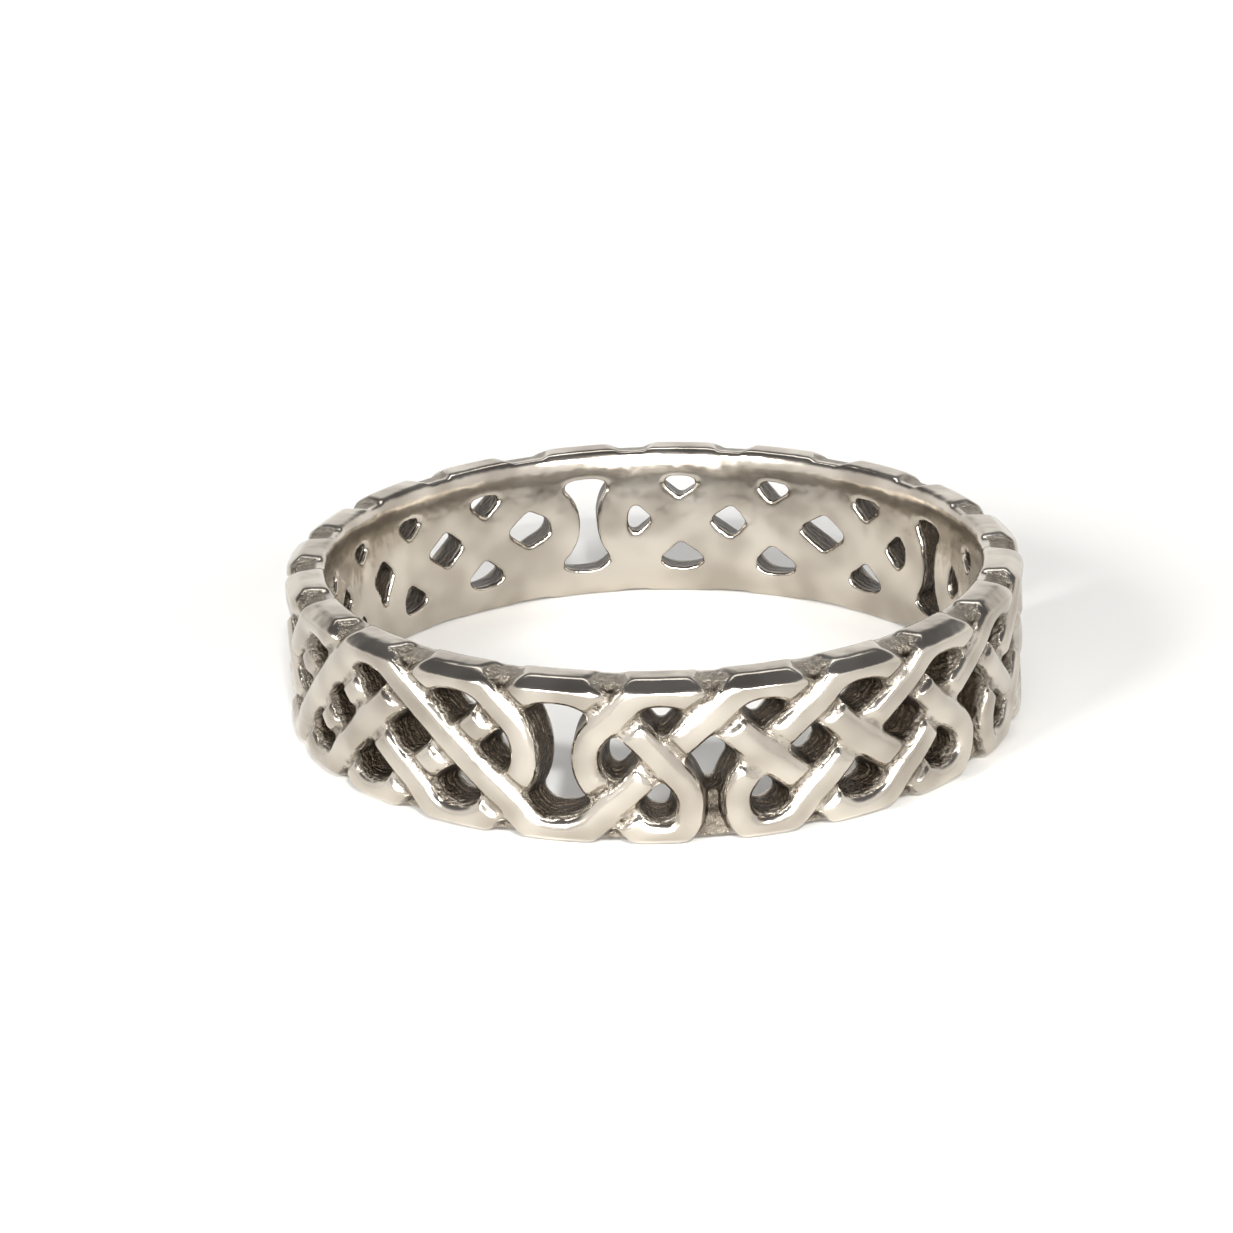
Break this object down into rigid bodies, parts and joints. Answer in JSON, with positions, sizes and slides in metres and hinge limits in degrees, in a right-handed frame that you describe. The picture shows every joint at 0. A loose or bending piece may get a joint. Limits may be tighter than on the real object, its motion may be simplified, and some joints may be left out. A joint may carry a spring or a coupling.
{
  "type": "celtic knot ring",
  "caption": "Pierced finger ring whose band is a weave of interlaced strands with scalloped edges; it goes round a finger.",
  "frame": {"origin": "middle of the finger hole at the lower edge of the band, on the surface that the ring lies on", "axes": "+Z along the finger hole, away from the surface that the ring lies on; -Y towards the front of the band, the stretch that faces the picture's camera; +X to the right of that stretch"},
  "size_m": [0.0208, 0.0208, 0.0047],
  "materials": {
    "silver": "cast sterling silver, polished on the strand tops and in the bore, oxidised dark in the recesses"
  },
  "bodies": {
    "root": {"knot_band": "silver"}
  },
  "joints": []
}
